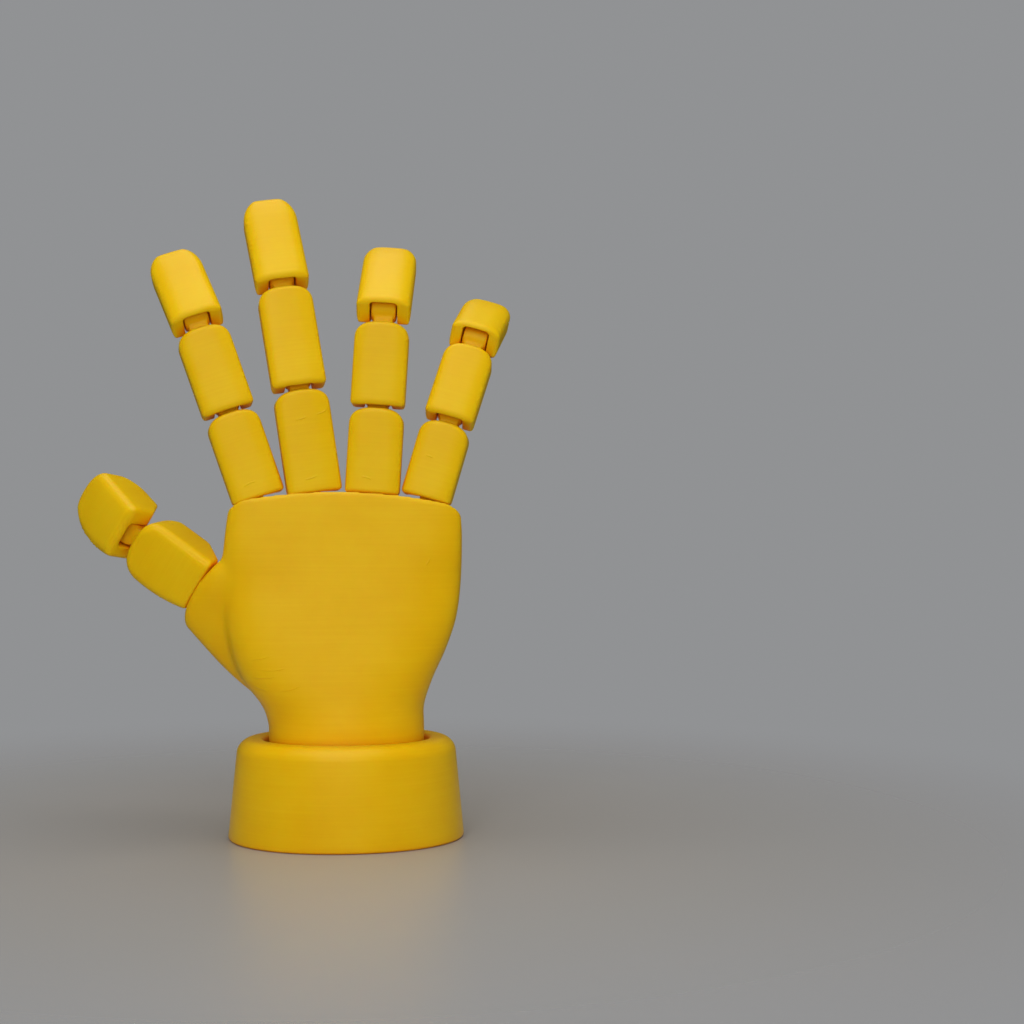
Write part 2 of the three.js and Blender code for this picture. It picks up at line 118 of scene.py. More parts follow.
# a corner is rounded over all but a hair of the room left for it, in percent
fullRounding = 99.9
# how far a cutting block reaches past the piece it cuts, in mm
beyond = 20


def drawnBlock(corners, low, high, turn, steps=8):
    # corners: (across, up, rounding before, rounding after); pushed along the third axis
    bm = bmesh.new()
    count = len(corners)
    row = []
    toRound = []
    for i, corner in enumerate(corners):
        here = Vector((corner[0], corner[1], low))
        if len(corner) > 2:
            before = Vector((*corners[i - 1][:2], low)) - here
            after = Vector((*corners[(i + 1) % count][:2], low)) - here
            row.append(bm.verts.new(here + before.normalized() * corner[2]))
            toRound.append(bm.verts.new(here))
            row.append(toRound[-1])
            row.append(bm.verts.new(here + after.normalized() * corner[3]))
        else:
            row.append(bm.verts.new(here))
    face = bm.faces.new(row)
    for vert in toRound:
        bmesh.ops.bevel(bm, geom=[vert], offset=fullRounding, offset_type="PERCENT",
                        affect="VERTICES", segments=steps, profile=0.5, material=-1)
    bmesh.ops.remove_doubles(bm, verts=bm.verts, dist=0.001)
    bm.faces.ensure_lookup_table()
    pushFace(bm, bm.faces[0], Vector((0, 0, high - low)))
    bmesh.ops.transform(bm, matrix=turn, verts=bm.verts)
    return bm


seenFromSide = Matrix(((0, 0, 1, 0), (1, 0, 0, 0), (0, 1, 0, 0), (0, 0, 0, 1)))
seenFromFront = Matrix(((1, 0, 0, 0), (0, 0, -1, 0), (0, 1, 0, 0), (0, 0, 0, 1)))
seenFromAbove = Matrix.Identity(4)


def squareness(share, power):
    return math.copysign(abs(share) ** (2 / power), share)


def ovalRing(bm, section, steps, cap=False, place=Matrix.Identity(4)):
    # a level oval whose front and back can differ in reach and in squareness
    ring = bmesh.ops.create_circle(bm, cap_ends=cap, segments=steps, radius=1)["verts"]
    middle = (section["right"] - section["left"]) / 2
    half = (section["right"] + section["left"]) / 2
    for v in ring:
        toFront = v.co.y >= 0
        power = section["frontSquare"] if toFront else section["backSquare"]
        reach = section["front"] if toFront else section["back"]
        v.co = Vector((middle + half * squareness(v.co.x, power),
                       reach * squareness(v.co.y, power), section["height"]))
    bmesh.ops.transform(bm, matrix=place, verts=ring)
    inRing = set(ring)
    return [e for e in bm.edges if e.verts[0] in inRing and e.verts[1] in inRing]


def evenOval(height, halfWidth, halfDepth, power):
    return {"height": height, "left": halfWidth, "right": halfWidth, "back": halfDepth,
            "front": halfDepth, "backSquare": power, "frontSquare": power}


def loft(sections, steps, places=None):
    bm = bmesh.new()
    last = len(sections) - 1
    rings = []
    for i, section in enumerate(sections):
        place = places[i] if places else Matrix.Identity(4)
        rings.append(ovalRing(bm, section, steps, i in (0, last), place))
    for lower, upper in zip(rings, rings[1:]):
        bmesh.ops.bridge_loops(bm, edges=lower + upper)
    return bm


def ball(radius, spot=(0, 0, 0), steps=48):
    bm = bmesh.new()
    bmesh.ops.create_uvsphere(bm, u_segments=steps, v_segments=steps // 2, radius=radius)
    bmesh.ops.translate(bm, verts=bm.verts, vec=spot)
    return bm


def rod(radiusLow, radiusHigh, start, end, steps=48):
    way = Vector(end) - Vector(start)
    bm = bmesh.new()
    bmesh.ops.create_cone(bm, cap_ends=True, segments=steps, radius1=radiusLow, radius2=radiusHigh,
                          depth=way.length)
    turn = way.to_track_quat("Z", "Y").to_matrix().to_4x4()
    middle = Matrix.Translation((Vector(start) + Vector(end)) / 2)
    bmesh.ops.transform(bm, matrix=middle @ turn, verts=bm.verts)
    return bm


def block(size, spot):
    bm = bmesh.new()
    bmesh.ops.create_cube(bm, size=1)
    bmesh.ops.scale(bm, vec=size, verts=bm.verts)
    bmesh.ops.translate(bm, verts=bm.verts, vec=spot)
    return bm


plastic = {
    "colour": (0.93, 0.545, 0.003),
    "paler": (0.955, 0.578, 0.006),
    "deeper": (0.902, 0.515, 0.002),
    "roughLow": 0.31, "roughHigh": 0.38,
    "gloss": 0.22, "ior": 1.46,
    "stretch": 0.8,        # how far the printed lines draw a highlight out along the piece
    "glow": 0.4,           # how much light wanders inside, and how far in mm for each colour
    "glowReach": (1.4, 0.8, 0.1),
    "hollow": (0.86, 0.31, 0.001),   # painted shade: in corners the colour is mixed towards this orange, as the light there has bounced about and comes out orange
    "paintedShadeReach": 3.5,
    "fingerPaintedLight": 1.05,    # painted light: the digits are coloured a little yellower than the palm, standing in for the paler light that falls on them
    "layer": 0.2,          # mm from one printed line to the next
    "layerDepth": 0.012, "layerWobble": 0.6,
    "streakDepth": 0.012, "streakScale": (0.03, 0.03, 1.7), "cloudScale": 0.06,
    "markWidth": 0.34, "markHeight": 0.11,
}


def wire(tree, kind, inputs=None, **settings):
    # a node with its settings, each input linked or given a value
    node = tree.nodes.new(kind)
    for key, value in settings.items():
        setattr(node, key, value)
    for key, value in (inputs or {}).items():
        if isinstance(value, bpy.types.NodeSocket):
            tree.links.new(value, node.inputs[key])
        else:
            node.inputs[key].default_value = value
    return node


def markMask(tree, where, mark):
    # a short raised arc left by the print head: its middle, lean, length and how far off its centre is
    x, y, z, lean, length, bow = mark
    angle = math.radians(lean)
    hub = (x - bow * math.sin(angle), 0, z + bow * math.cos(angle))
    flat = wire(tree, "ShaderNodeVectorMath", {0: where, 1: (1, 0, 1)}, operation="MULTIPLY")
    out = wire(tree, "ShaderNodeVectorMath", {0: flat.outputs[0], 1: hub}, operation="DISTANCE")
    off = wire(tree, "ShaderNodeMath", {0: out.outputs["Value"], 1: abs(bow)}, operation="SUBTRACT")
    gap = wire(tree, "ShaderNodeMath", {0: off.outputs[0]}, operation="ABSOLUTE")
    line = wire(tree, "ShaderNodeMapRange",
                {"Value": gap.outputs[0], "From Max": plastic["markWidth"], "To Min": 1, "To Max": 0},
                interpolation_type="SMOOTHSTEP")
    reach = wire(tree, "ShaderNodeVectorMath", {0: where, 1: (x, y, z)}, operation="DISTANCE")
    near = wire(tree, "ShaderNodeMapRange",
                {"Value": reach.outputs["Value"], "From Min": length * 0.3, "From Max": length * 0.5,
                 "To Min": 1, "To Max": 0}, interpolation_type="SMOOTHSTEP")
    return wire(tree, "ShaderNodeMath", {0: line.outputs["Result"], 1: near.outputs["Result"]},
                operation="MULTIPLY").outputs[0]


def plasticFinish(name, place, seed=0.0, marks=(), paintedLightLift=1.0):
    # printed lines run across the piece, square to its own upward axis
    material = bpy.data.materials.new(name)
    material.use_nodes = True
    tree = material.node_tree
    shader = tree.nodes["Principled BSDF"]
    shader.inputs["IOR"].default_value = plastic["ior"]
    shader.inputs["Subsurface Weight"].default_value = plastic["glow"]
    shader.inputs["Subsurface Radius"].default_value = plastic["glowReach"]
    shader.inputs["Subsurface Scale"].default_value = mm
    shader.inputs["Specular IOR Level"].default_value = plastic["gloss"]
    shader.inputs["Anisotropic"].default_value = plastic["stretch"]
    spot, turn = place.decompose()[:2]
    upward = turn @ Vector((0, 0, 1))
    grain = wire(tree, "ShaderNodeVectorTransform", {"Vector": upward}, vector_type="VECTOR",
                 convert_from="OBJECT", convert_to="WORLD")
    tree.links.new(grain.outputs["Vector"], shader.inputs["Tangent"])
    where = wire(tree, "ShaderNodeTexCoord").outputs["Object"]
    own = wire(tree, "ShaderNodeMapping",
               {"Vector": where, "Location": spot, "Rotation": turn.to_euler(),
                "Scale": (mm, mm, mm)}, vector_type="TEXTURE").outputs["Vector"]

    lines = wire(tree, "ShaderNodeTexWave",
                 {"Vector": own, "Scale": math.pi / 10 / plastic["layer"],
                  "Distortion": plastic["layerWobble"], "Detail": 1, "Detail Scale": 0.4},
                 wave_type="BANDS", bands_direction="Z")
    stretch = wire(tree, "ShaderNodeMapping",
                   {"Vector": own, "Location": (seed, seed, seed),
                    "Scale": plastic["streakScale"]})
    streaks = wire(tree, "ShaderNodeTexNoise",
                   {"Vector": stretch.outputs["Vector"], "Scale": 1, "Detail": 3})
    clouds = wire(tree, "ShaderNodeTexNoise",
                  {"Vector": own, "Scale": plastic["cloudScale"], "Detail": 4})
    tone = wire(tree, "ShaderNodeMath",
                {0: streaks.outputs["Fac"], 1: 0.5, 2: clouds.outputs["Fac"]},
                operation="MULTIPLY_ADD")
    ramp = wire(tree, "ShaderNodeValToRGB")
    ramp.color_ramp.elements[0].position = 0.5
    ramp.color_ramp.elements[1].position = 1
    ramp.color_ramp.elements.new(0.75)
    # painted light: for the digits the green of each colour is raised a little, so they come out paler
    # and yellower than the palm
    for stop, key in zip(ramp.color_ramp.elements, ("deeper", "colour", "paler")):
        red, green, blue = plastic[key]
        stop.color = (red, green * paintedLightLift, blue, 1)
    tree.links.new(tone.outputs[0], ramp.inputs["Fac"])
    # painted shade: where the surface is closed in (creases, slots, corners) the base colour is mixed
    # towards the deep orange of bounced light
    openness = wire(tree, "ShaderNodeAmbientOcclusion",
                    {"Distance": plastic["paintedShadeReach"] * mm}, samples=6)
    lit = wire(tree, "ShaderNodeMapRange",
               {"Value": openness.outputs["AO"], "From Min": 0.15, "From Max": 0.8})
    # a colour mix has its factor, two colours and result at these places
    paintedCreaseShade = wire(tree, "ShaderNodeMix", {0: lit.outputs["Result"], 6: (*plastic["hollow"], 1),
                                        7: ramp.outputs["Color"]}, data_type="RGBA")
    tree.links.new(paintedCreaseShade.outputs[2], shader.inputs["Base Color"])
    rough = wire(tree, "ShaderNodeMapRange",
                 {"Value": clouds.outputs["Fac"], "From Min": 0.3, "From Max": 0.7,
                  "To Min": plastic["roughLow"], "To Max": plastic["roughHigh"]})
    tree.links.new(rough.outputs["Result"], shader.inputs["Roughness"])

    bump = wire(tree, "ShaderNodeBump",
                {"Strength": 1, "Distance": plastic["layerDepth"] * mm,
                 "Height": lines.outputs["Fac"]})
    bump = wire(tree, "ShaderNodeBump",
                {"Strength": 1, "Distance": plastic["streakDepth"] * mm,
                 "Height": streaks.outputs["Fac"], "Normal": bump.outputs["Normal"]})
    if marks:
        height = markMask(tree, own, marks[0])
        for mark in marks[1:]:
            height = wire(tree, "ShaderNodeMath", {0: height, 1: markMask(tree, own, mark)},
                          operation="MAXIMUM").outputs[0]
        bump = wire(tree, "ShaderNodeBump",
                    {"Strength": 1, "Distance": plastic["markHeight"] * mm, "Height": height,
                     "Normal": bump.outputs["Normal"]})
    tree.links.new(bump.outputs["Normal"], shader.inputs["Normal"])
    return material


def addPiece(name, node, body, mesh, place, seed=0.0, marks=(), paintedLightLift=1.0):
    mesh.transform(metres)
    mesh.transform(place)
    piece = bpy.data.objects.new(name, mesh)
    bpy.context.scene.collection.objects.link(piece)
    mesh.materials.clear()
    mesh.materials.append(plasticFinish(name + "_plastic", place, seed, marks, paintedLightLift))
    mesh.polygons.foreach_set("use_smooth", [True] * len(mesh.polygons))
    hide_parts(node)
    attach(piece, body)
    return piece


stand = {
    "width": 70, "depth": 60, "taper": 2.8, "height": 29.4, "rimRound": 4, "lipRound": 1.2,
    "footRound": 0.8, "floor": 8, "floorRound": 0.6, "square": 2.1, "steps": 160,
}
wrist = {"width": 46.2, "depth": 33.2, "square": 2.15, "gap": 1.4, "lead": 4, "top": 33,
         "rest": 0.3, "footTop": 0.8, "footIn": 0.4}


def standMesh():
    half, deep = stand["width"] / 2, stand["depth"] / 2
    sections = []
    for i in range(5):
        angle = math.radians(22.5 * i)
        inset = stand["footRound"] * (1 - math.sin(angle))
        sections.append(evenOval(stand["footRound"] * (1 - math.cos(angle)), half - inset,
                                 deep - inset, stand["square"]))
    slope = stand["taper"] / stand["height"]
    for i in range(13):
        angle = math.radians(7.5 * i)
        height = stand["height"] - stand["rimRound"] * (1 - math.sin(angle))
        inset = slope * height + stand["rimRound"] * (1 - math.cos(angle))
        sections.append(evenOval(height, half - inset, deep - inset, stand["square"]))
    for i in range(7):
        angle = math.radians(15 * i)
        wide = wrist["gap"] + stand["lipRound"] * (1 - math.sin(angle))
        height = stand["height"] - stand["lipRound"] * (1 - math.cos(angle))
        sections.append(evenOval(height, wrist["width"] / 2 + wide, wrist["depth"] / 2 + wide,
                                 wrist["square"]))
    for up in (1.0, 0.0):
        inset = stand["floorRound"] * (1 - up)
        sections.append(evenOval(stand["floor"] + up, wrist["width"] / 2 + wrist["gap"] - inset,
                                 wrist["depth"] / 2 + wrist["gap"] - inset, wrist["square"]))
    return finishedMesh(loft(sections, stand["steps"]), "stand")


addPiece("stand_print", "stand", "stand", standMesh(), Matrix.Identity(4), 3.0)
print("stand made")


palm = {
    "top": 102.4, "topRadius": 155, "topAcross": -3,
    "backRound": 1.4, "backFall": 3.4, "frontRound": 6.5,
    "cornerAlong": 5.5, "cornerDown": 3.4, "cornerLeft": 34.3, "cornerRight": 33.5, "cornerLean": 2.6,
    "crownDepth": 24, "crownBack": 9.7, "crownFront": 7.9, "backSpread": 2, "frontSpread": 4.5,
    "crownSweep": 15, "crownBlend": 16, "lipDepth": 1.45, "lipRise": 0.4, "lipSlope": 0.2,
    "seatDrop": 1.4, "sweepSteps": 60,
    "cornerRise": 0.3, "shoulderIn": 13, "shoulderRise": 0.9, "topClear": 2, "lowSpread": 1.4,
    "outlineDrop": 4, "outlineDepth": 60, "limitWidth": 180,
    "rings": 60, "steps": 144, "grain": 0.475,
    # height: left, right, back, front, squareness of back and of front
    "stations": {
        39: (25, 23.1, 15.9, 16.2, 2.3, 2.2), 47: (30.8, 25.6, 14.9, 16, 2.9, 2.4),
        56: (34.4, 29.6, 13.7, 15.2, 3.4, 2.6), 66: (36.2, 32.8, 12.4, 13.6, 3.8, 2.8),
        80: (36.8, 34.2, 10.8, 10.6, 4.4, 3), 106: (33.6, 33.9, 9, 6.6, 12, 3.4),
    },
}
# the knuckles lie fromBack mm in from the back, which is at y = -backAt
knuckle = {
    "ball": 4.5, "gap": 0.3, "rise": 5.6, "stem": 2.7, "root": 5, "seat": 0.3,
    "fromBack": 7.5, "backAt": 9,
    "notch": 6.1, "notchTop": 2.8, "notchDepth": 30, "mouthTop": 2.7, "mouth": 4, "mouthEnd": 8.95,
    "mouthLength": 9,
}
fingers = {
    "index": {"across": -28, "lean": -18.8, "twist": 8, "width": 15.8,
              "lengths": (25.9, 26.4, 22.9), "bends": (2, 3, 28), "seamSide": (1, 1, -1),
              "tip": {"domeRise": 8.3, "domeSquare": 2.2}},
    "middle": {"across": -10.5, "lean": -8.2, "twist": 7, "width": 16.2,
               "lengths": (30.2, 31, 25.3), "bends": (2, 8, 16), "seamSide": (1, 1, -1),
               "tip": {"domeRise": 8.6, "domeSquare": 2.2, "knuckleDrop": 5.9}},
    "ring": {"across": 8.1, "lean": 3.4, "twist": -5, "width": 16.2,
             "lengths": (25, 25.6, 25), "bends": (2, 2, 43), "seamSide": (1, 1, 1),
             "tip": {"domeRise": 7, "domeSquare": 2.5}},
    "pinky": {"across": 25.3, "lean": 16, "twist": -9, "width": 15.2,
              "lengths": (23.2, 24.4, 17), "bends": (4, 13, 40), "seamSide": (1, 1, 1),
              "tip": {"domeRise": 6.5, "domeSquare": 2.5, "knuckleDrop": 5.6}},
}
thumb = {"root": (-46.3, 4.5, 78), "lean": -54.2, "swing": 14.2, "roll": -17.6, "width": 18.8,
         "lengths": (24, 18.9), "bends": (0, 25.5), "seamSide": (-1, -1)}


def yawPitchRoll(lean, pitch, roll):
    return (Matrix.Rotation(math.radians(lean), 4, "Y") @ Matrix.Rotation(math.radians(pitch), 4, "X")
            @ Matrix.Rotation(math.radians(roll), 4, "Z"))


def knuckleSpot(across, rise):
    angle = math.asin((across - palm["topAcross"]) / (palm["topRadius"] + knuckle["rise"]))
    out = palm["topRadius"] + rise
    return Vector((palm["topAcross"] + out * math.sin(angle), knuckle["fromBack"] - knuckle["backAt"],
                   palm["top"] - palm["topRadius"] + out * math.cos(angle)))


thumbTurn = yawPitchRoll(thumb["lean"], -thumb["swing"], thumb["roll"])


def smoothRow(heights, values, at):
    # slope at a station is the mean of its two sides, as a cubic through the stations has
    i = max(j for j in range(len(heights) - 1) if heights[j] <= at)
    span = heights[i + 1] - heights[i]
    t = (at - heights[i]) / span

    def slopeAt(j):
        low, high = max(j - 1, 0), min(j + 1, len(heights) - 1)
        return (values[high] - values[low]) / (heights[high] - heights[low])

    a, b = slopeAt(i) * span, slopeAt(i + 1) * span
    return ((2 * t ** 3 - 3 * t ** 2 + 1) * values[i] + (t ** 3 - 2 * t ** 2 + t) * a
            + (3 * t ** 2 - 2 * t ** 3) * values[i + 1] + (t ** 3 - t ** 2) * b)


def palmBody():
    wide, deep, power = wrist["width"] / 2, wrist["depth"] / 2, wrist["square"]
    rows = {wrist["top"] - wrist["lead"]: (wide, wide, deep, deep, power, power),
            wrist["top"]: (wide, wide, deep, deep, power, power), **palm["stations"]}
    heights = list(rows)
    keys = ("left", "right", "back", "front", "backSquare", "frontSquare")
    inset = wrist["footIn"]
    sections = [evenOval(stand["floor"] + wrist["rest"], wide - inset, deep - inset, power),
                evenOval(stand["floor"] + wrist["footTop"], wide, deep, power)]
    for i in range(palm["rings"] + 1):
        height = wrist["top"] + (heights[-1] - wrist["top"]) * i / palm["rings"]
        section = {key: smoothRow(heights, [row[k] for row in rows.values()], height)
                   for k, key in enumerate(keys)}
        section["height"] = height
        sections.append(section)
    return finishedMesh(loft(sections, palm["steps"]), "palmBody")


def crown():
    # the top edge seen from the side: a thin lip at the back, and the fingers' seat in front of it
    low = palm["topRadius"] - palm["crownDepth"]
    high = palm["topRadius"]
    back, front = -palm["crownBack"], palm["crownFront"]
    inner = back + palm["lipDepth"]
    bm = drawnBlock([
        (back - palm["backSpread"], low), (front + palm["frontSpread"], low),
        (front, high - palm["seatDrop"], palm["frontRound"], palm["frontRound"]),
        (inner + palm["lipSlope"], high - palm["seatDrop"]), (inner, high + palm["lipRise"]),
        (back, high + palm["lipRise"], palm["backRound"], palm["backFall"]),
    ], 0, 1, seenFromSide)
    # only the flat face at x = 0 is kept, and it is spun along the knuckle line
    spare = [v for v in bm.verts if v.co.x > 0.5]
    bmesh.ops.delete(bm, geom=spare, context="VERTS")
    start = Matrix.Rotation(math.radians(-palm["crownSweep"]), 4, "Y")
    bmesh.ops.transform(bm, matrix=start, verts=bm.verts)
    bmesh.ops.spin(bm, geom=bm.verts[:] + bm.edges[:] + bm.faces[:], cent=(0, 0, 0), axis=(0, 1, 0),
                   angle=math.radians(2 * palm["crownSweep"]), steps=palm["sweepSteps"],
                   use_merge=False)
    bmesh.ops.translate(bm, verts=bm.verts,
                        vec=(palm["topAcross"], 0, palm["top"] - palm["topRadius"]))
    return finishedMesh(bm, "crown")


def shoulderAt(x):
    return palm["top"] - palm["topRadius"] + math.sqrt(palm["topRadius"] ** 2
                                                       - (x - palm["topAcross"]) ** 2)


def palmOutline():
    left, right = -palm["cornerLeft"], palm["cornerRight"]
    along, down = palm["cornerAlong"], palm["cornerDown"]
    low = palm["top"] - palm["crownBlend"] - palm["outlineDrop"]
    leftIn, rightIn = left + palm["shoulderIn"], right - palm["shoulderIn"]
    bm = drawnBlock([
        (left - palm["cornerLean"], low), (right + palm["lowSpread"], low),
        (right, shoulderAt(right) + palm["cornerRise"], down, along),
        (rightIn, shoulderAt(rightIn) + palm["shoulderRise"]),
        (palm["topAcross"], palm["top"] + palm["topClear"]),
        (leftIn, shoulderAt(leftIn) + palm["shoulderRise"]),
        (left, shoulderAt(left) + palm["cornerRise"], along, down),
    ], -palm["outlineDepth"], palm["outlineDepth"], seenFromFront, 12)
    return finishedMesh(bm, "palmOutline")


lobe = {
    "width": 26, "depth": 17, "rootWidth": 29, "rootDepth": 15, "root": (-12, 3.6, 48),
    "square": 3.4, "endRise": 4, "endInset": 7.5, "backInset": 1.6, "swell": 1.4, "hollow": 2.4,
    "steps": 96, "creaseRounds": 80,
}


def lobeMesh():
    spot = Vector(thumb["root"])
    face = spot - thumbTurn.to_3x3() @ Vector((0, 0, knuckle["rise"]))
    along = thumbTurn.to_3x3() @ Vector((0, 0, 1))
    sections, places = [], []
    for i in range(25):
        t = 1 - i / 24
        swell = lobe["swell"] * math.sin(math.pi * t)
        centre = (face - along * lobe["endRise"]).lerp(Vector(lobe["root"]), t)
        section = evenOval(0, (lobe["width"] * (1 - t) + lobe["rootWidth"] * t) / 2 + swell,
                           (lobe["depth"] * (1 - t) + lobe["rootDepth"] * t) / 2 + swell,
                           lobe["square"])
        section["back"] -= lobe["hollow"] * t
        sections.append(section)
        places.append(Matrix.Translation(centre) @ thumbTurn)
    for i in range(1, 13):
        angle = math.radians(7.5 * i)
        turned = 1 - math.cos(angle)
        inset = lobe["endInset"] * turned
        centre = face + along * lobe["endRise"] * (math.sin(angle) - 1)
        section = evenOval(0, lobe["width"] / 2 - inset, lobe["depth"] / 2 - inset, lobe["square"])
        section["back"] = lobe["depth"] / 2 - lobe["backInset"] * turned
        sections.append(section)
        places.append(Matrix.Translation(centre) @ thumbTurn)
    return finishedMesh(loft(sections, lobe["steps"], places), "lobe")


def between(value, low, high, blend):
    return min(max(min(value - low, high - value) / blend, 0), 1)


# the crease bends away below one height and widens below another
crease = {
    "across": -37.5, "bend": 0.012, "bendsBelow": 66, "reach": 6, "opening": 0.16, "opensBelow": 70,
    "back": -20, "front": 3, "low": 36, "high": 92, "fade": 3, "fadeUp": 6,
}


def lobeCrease(spot):
    # the lobe runs into the palm's back along a soft hollow that opens out towards the wrist
    reach = crease["reach"] + crease["opening"] * max(crease["opensBelow"] - spot.z, 0)
    middle = crease["across"] + crease["bend"] * max(crease["bendsBelow"] - spot.z, 0) ** 2
    return (between(spot.x, middle - reach, middle + reach, crease["fade"])
            * between(spot.y, crease["back"], crease["front"], crease["fade"])
            * between(spot.z, crease["low"], crease["high"], crease["fadeUp"]))


def palmMesh():
    upper = carve(crown(), [("INTERSECT", palmOutline())])
    split = palm["top"] - palm["crownBlend"]
    lower = block((palm["limitWidth"], palm["limitWidth"], split), (0, 0, split / 2))
    limit = carve(upper, [("UNION", finishedMesh(lower, "lower"))])
    steps = [("INTERSECT", limit), ("UNION", lobeMesh())]
    stems = [(knuckleSpot(f["across"], -knuckle["root"]), knuckleSpot(f["across"], knuckle["rise"]))
             for f in fingers.values()]
    along = thumbTurn.to_3x3() @ Vector((0, 0, 1))
    spot = Vector(thumb["root"])
    stems.append((spot - along * (knuckle["rise"] + knuckle["root"]), spot))
    for root, tip in stems:
        stem = rod(knuckle["stem"], knuckle["stem"], root, tip)
        steps.append(("UNION", finishedMesh(stem, "stem")))
    for root, tip in stems:
        seat = ball(knuckle["ball"] + knuckle["seat"], tip)
        steps.append(("DIFFERENCE", finishedMesh(seat, "seat")))
    return soothe(soften(carve(palmBody(), steps), palm["grain"], 5), lobeCrease,
                  lobe["creaseRounds"])


# each mark: across, depth, up, lean, length, and how far away its arc's centre is
palmMarks = [
    (23.9, -11, 82, 58, 3.2, 20), (-26.2, -12.5, 45.6, -22, 7.5, 14), (-16.3, -14, 45.1, 16, 7, 14),
    (-21.5, -13, 50.7, 4, 8, 16), (-24.8, -12, 54.1, 12, 7, 18), (-24, -12.5, 48.4, 3, 8, 15),
]
addPiece("palm_print", "palm", "hand", palmMesh(), Matrix.Identity(4), 11.0, palmMarks)
print("palm made")


shape = {
    "back": 6.5, "front": 7.5, "frontFlat": 0.6,
    "rimRound": 1.4, "rootRound": 1.4, "endRound": 1.7, "footRound": 1.3,
    "crowning": 1.15, "tipCrowning": 1.6, "crowningPower": 3.2, "nailFall": 1.1, "nailLength": 10,
    "nailPower": 2.5,
    "sole": 9, "knuckleSole": 6.5, "knuckleDrop": 5.9, "knuckleCrown": 4.6,
    "tipSquare": 2.6, "tipRound": 1.6, "tipRise": 5.6, "tipFall": 8.5,
    "domeSquare": 2.25, "domeRise": 8.5, "domeRound": 3.4, "domeFall": 10,
    "grain": 0.3, "wear": 8, "tipWear": 70, "tipWearDepth": 5, "tipWearRise": 3,
}
thumbShape = {
    **shape, "back": 7.9, "front": 8.5, "frontFlat": 10.8, "rimRound": 2.5, "endRound": 2.2,
    "tipRise": 7, "tipFall": 15,
    "domeRise": 4.8, "outerRise": 8.5, "domeRound": 1.9, "domeFall": 18.4,
    "belly": 0.5, "bellyFall": 1.6, "bellyFrom": 4.6, "bellyDrop": 4,
    "crowning": 0.6, "nailFall": 0.4, "wear": 24,
}
hinge = {
    "barrel": 4.1, "barrelWidth": 7.4, "neck": 5.8, "neckRoot": 8,
    "flare": 4.7, "flareBelow": 2, "flareAbove": 0.7,
    "boss": 2, "bossRise": 1.1, "slotBack": 4.95, "slotRoof": 4.5, "slotCorner": 1.1,
    "slotDepth": 30, "sideGap": 0.4, "dimpleGap": 0.3, "drop": 4.7, "crown": 3.1, "between": 0.4,
}


# the power that makes an oval as good as a rectangle
nearSquare = 40
# roundings that meet on one edge take a little less than all of it
almost = 0.999
almostHalf = 0.998
# how far a cutting outline stands off a face that it leaves alone, in mm
clear = 0.5
hair = 0.01
# the outline from the front runs on below the base, which another cut gives its shape
runOn = 8


def phalanxBody(width, form, end):
    half = width / 2
    back, front = form["back"], form["front"]
    depth = back + front
    # seen from the front: an arched tip, with the back's rim rounded all along it
    bm = bmesh.new()
    ring = bmesh.ops.create_circle(bm, cap_ends=True, segments=96, radius=1)["verts"]
    for v in ring:
        if v.co.y >= 0:
            x = half * squareness(v.co.x, end["square"])
            arch = end["outerArch"] if x < 0 else end["arch"]
            z = end["top"] - arch * (1 - squareness(v.co.y, end["square"]))
        else:
            x = half * squareness(v.co.x, nearSquare)
            arch = end["outerArch"] if x < 0 else end["arch"]
            down = end["top"] + end["drop"] + runOn
            z = end["top"] - arch + down * squareness(v.co.y, nearSquare)
        v.co = Vector((x, -back, z))
    rim = bm.edges[:]
    bm.faces.ensure_lookup_table()
    pushFace(bm, bm.faces[0], Vector((0, depth + 1, 0)))
    bmesh.ops.bevel(bm, geom=rim, offset=form["rimRound"], affect="EDGES", segments=6,
                    profile=0.5, material=-1)
    fromFront = finishedMesh(bm, "fromFront")
    # seen from above: the palm side is rounded
    r = (width - form["frontFlat"]) / 2
    nearly = r * almostHalf
    bar = drawnBlock([
        (-half - 1, -back - 1), (half + 1, -back - 1), (half + hair, front - r),
        (half, front, nearly, nearly), (-half, front, nearly, nearly),
        (-half - hair, front - r),
    ], -end["drop"] - beyond, end["top"] + beyond, seenFromAbove, 24)
    # seen from the side: a flat sole with a slanted cut to the palm side, then a tip that falls away
    rise = (end["crown"] + end["drop"]) / (depth - end["sole"])
    r = end["soft"]
    base = drawnBlock([
        (-back, -end["drop"], r, r), (end["sole"] - back, -end["drop"]),
        (front + clear, end["crown"] + clear * rise), (front + clear, end["top"] + beyond),
        (-back, end["top"] + beyond),
    ], -width, width, seenFromSide, 8)
    r = form["footRound"]
    side = half + 2 * hair
    foot = drawnBlock([
        (-side, -end["drop"], r, r), (side, -end["drop"], r, r),
        (side, end["top"] + beyond), (-side, end["top"] + beyond),
    ], -width, width, seenFromFront, 6)
    r = end["round"]
    tip = drawnBlock([
        (-back - clear, -end["drop"] - beyond), (front + clear, -end["drop"] - beyond),
        (front + clear, end["top"] - end["fall"]),
        (front, end["top"], end["fall"] * almost, (depth - r) * almost),
        (-back, end["top"], r, r), (-back - clear, end["top"] - r),
    ], -width, width, seenFromSide, 20)
    cuts = (bar, base, foot, tip)
    return carve(fromFront, [("INTERSECT", finishedMesh(cut, "side")) for cut in cuts])


